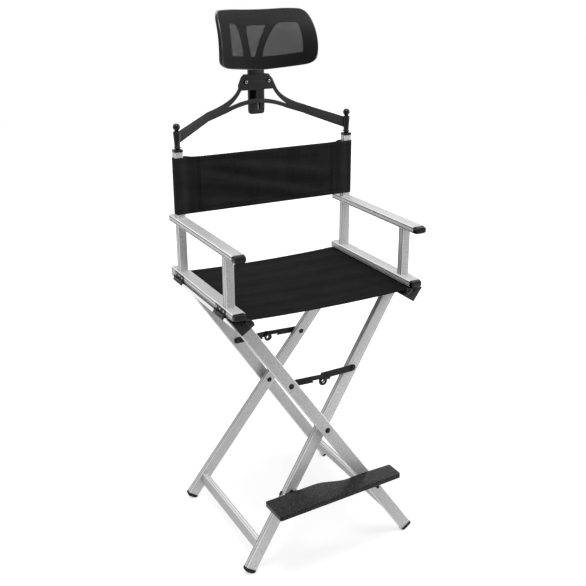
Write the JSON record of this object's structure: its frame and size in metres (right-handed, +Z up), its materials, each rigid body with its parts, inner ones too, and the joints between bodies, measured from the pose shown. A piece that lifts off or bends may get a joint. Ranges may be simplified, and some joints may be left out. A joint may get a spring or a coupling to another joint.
{
  "type": "folding makeup chair",
  "caption": "Tall folding director-style makeup chair: crossing flat-tube legs, canvas seat and back, lock braces, swing-up footboard and lift-off mesh headrest.",
  "frame": {"origin": "on the floor, in the middle of the chair's footprint box", "axes": "+Z up, the chair faces -Y, +X to the right of someone who looks at its front"},
  "size_m": [0.558, 0.5496, 1.425],
  "materials": {
    "satin_aluminium": "satin anodised",
    "black_plastic": "moulded, low sheen",
    "grey_plastic": "moulded, low sheen",
    "black_rubber": "moulded rubber",
    "black_steel": "satin powder coat",
    "bright_steel": "zinc plated",
    "black_canvas": "heavy woven canvas",
    "black_mesh": "open knitted mesh",
    "footboard_plastic": "semi-gloss, finely grained"
  },
  "bodies": {
    "outer_frame": {"outer_front_leg": "satin_aluminium", "outer_rear_leg": "satin_aluminium", "outer_cross_rail": "satin_aluminium", "left_seat_rail": "satin_aluminium", "left_rail_plug": "black_plastic", "outer_foot_caps": "black_rubber", "pivot_rivets": "black_steel", "outer_brace_rivets": "black_steel", "left_rail_hinge_leaves": "black_steel", "footboard_peg": "black_rubber", "seat_canvas": "black_canvas", "left_canvas_rod": "bright_steel"},
    "inner_frame": {"inner_front_leg": "satin_aluminium", "inner_rear_leg": "satin_aluminium", "inner_cross_rail": "satin_aluminium", "right_seat_rail": "satin_aluminium", "right_rail_plug": "black_plastic", "inner_foot_caps": "black_rubber", "inner_brace_rivets": "black_steel", "right_rail_hinge_leaves": "black_steel", "footboard_bolt": "black_steel", "right_canvas_rod": "bright_steel"},
    "left_arm": {"left_armrest": "satin_aluminium", "left_base_rail": "satin_aluminium", "left_front_post": "satin_aluminium", "left_rear_post": "satin_aluminium", "left_front_caps": "black_plastic", "left_rear_caps": "grey_plastic", "left_arm_hinge_leaves": "black_steel", "left_hinge_screws": "bright_steel", "left_hinge_pins": "bright_steel", "left_post_cap": "black_plastic", "back_canvas": "black_canvas"},
    "right_arm": {"right_armrest": "satin_aluminium", "right_base_rail": "satin_aluminium", "right_front_post": "satin_aluminium", "right_rear_post": "satin_aluminium", "right_front_caps": "black_plastic", "right_rear_caps": "grey_plastic", "right_arm_hinge_leaves": "black_steel", "right_hinge_screws": "bright_steel", "right_hinge_pins": "bright_steel", "right_post_cap": "black_plastic"},
    "front_left_brace": {"front_left_link": "black_steel"},
    "front_right_brace": {"front_right_link": "black_steel"},
    "rear_left_brace": {"rear_left_link": "black_steel"},
    "rear_right_brace": {"rear_right_link": "black_steel"},
    "footboard": {"footboard": "footboard_plastic", "footboard_bracket": "black_steel"},
    "headrest_unit": {"headrest_bracket": "black_steel", "left_finial": "black_plastic", "right_finial": "black_plastic", "clamp_plate": "black_steel", "clamp_screws": "bright_steel"},
    "headrest_slider": {"height_slider": "black_plastic", "tilt_pin": "bright_steel"},
    "headrest_pad": {"headrest_frame": "black_plastic", "headrest_mesh": "black_mesh"}
  },
  "joints": [
    {"name": "fold", "type": "hinge", "parent": "outer_frame", "child": "inner_frame", "pos_m": [0, 0.03451, 0.366], "axis": [0, -1, 0], "range_deg": [0, 24], "deforming": ["seat_canvas", "back_canvas"]},
    {"name": "left_arm_hinge", "type": "hinge", "parent": "outer_frame", "child": "left_arm", "pos_m": [-0.27587, 0.03451, 0.7342], "axis": [0, -1, 0], "range_deg": [0, 12]},
    {"name": "right_arm_hinge", "type": "hinge", "parent": "inner_frame", "child": "right_arm", "pos_m": [0.27587, 0.03451, 0.7342], "axis": [0, 1, 0], "range_deg": [0, 12]},
    {"name": "front_left_brace_pivot", "type": "hinge", "parent": "outer_frame", "child": "front_left_brace", "pos_m": [-0.09879, -0.12779, 0.51029], "axis": [-0.0561, -0.9951, 0.082], "range_deg": [0, 68]},
    {"name": "front_right_brace_pivot", "type": "hinge", "parent": "inner_frame", "child": "front_right_brace", "pos_m": [0.09977, -0.11911, 0.51171], "axis": [-0.0561, 0.9951, -0.082], "range_deg": [0, 68]},
    {"name": "rear_left_brace_pivot", "type": "hinge", "parent": "outer_frame", "child": "rear_left_brace", "pos_m": [-0.09879, 0.19681, 0.51029], "axis": [0.0561, -0.9951, -0.082], "range_deg": [0, 68]},
    {"name": "rear_right_brace_pivot", "type": "hinge", "parent": "inner_frame", "child": "rear_right_brace", "pos_m": [0.09977, 0.18812, 0.51171], "axis": [0.0561, 0.9951, 0.082], "range_deg": [0, 68]},
    {"name": "footboard_swing", "type": "hinge", "parent": "inner_frame", "child": "footboard", "pos_m": [-0.10743, -0.15551, 0.2091], "axis": [0.0561, -0.9951, 0.082], "range_deg": [0, 55]},
    {"name": "headrest_lift", "type": "slide", "parent": "left_arm", "child": "headrest_unit", "axis": [0, 0, 1], "range_m": [0, 0.06]},
    {"name": "headrest_height", "type": "slide", "parent": "headrest_unit", "child": "headrest_slider", "axis": [0, 0, 1], "range_m": [0, 0.045]},
    {"name": "headrest_tilt", "type": "hinge", "parent": "headrest_slider", "child": "headrest_pad", "pos_m": [0, 0.26451, 1.288], "axis": [1, 0, 0], "range_deg": [-20, 15]}
  ],
  "couplings": [
    {"joint": "left_arm_hinge", "follows": "fold", "ratio": 0.5},
    {"joint": "right_arm_hinge", "follows": "fold", "ratio": 0.5},
    {"joint": "front_left_brace_pivot", "follows": "fold", "ratio": 2.7594},
    {"joint": "front_right_brace_pivot", "follows": "fold", "ratio": 2.7594},
    {"joint": "rear_left_brace_pivot", "follows": "fold", "ratio": 2.7594},
    {"joint": "rear_right_brace_pivot", "follows": "fold", "ratio": 2.7594}
  ]
}
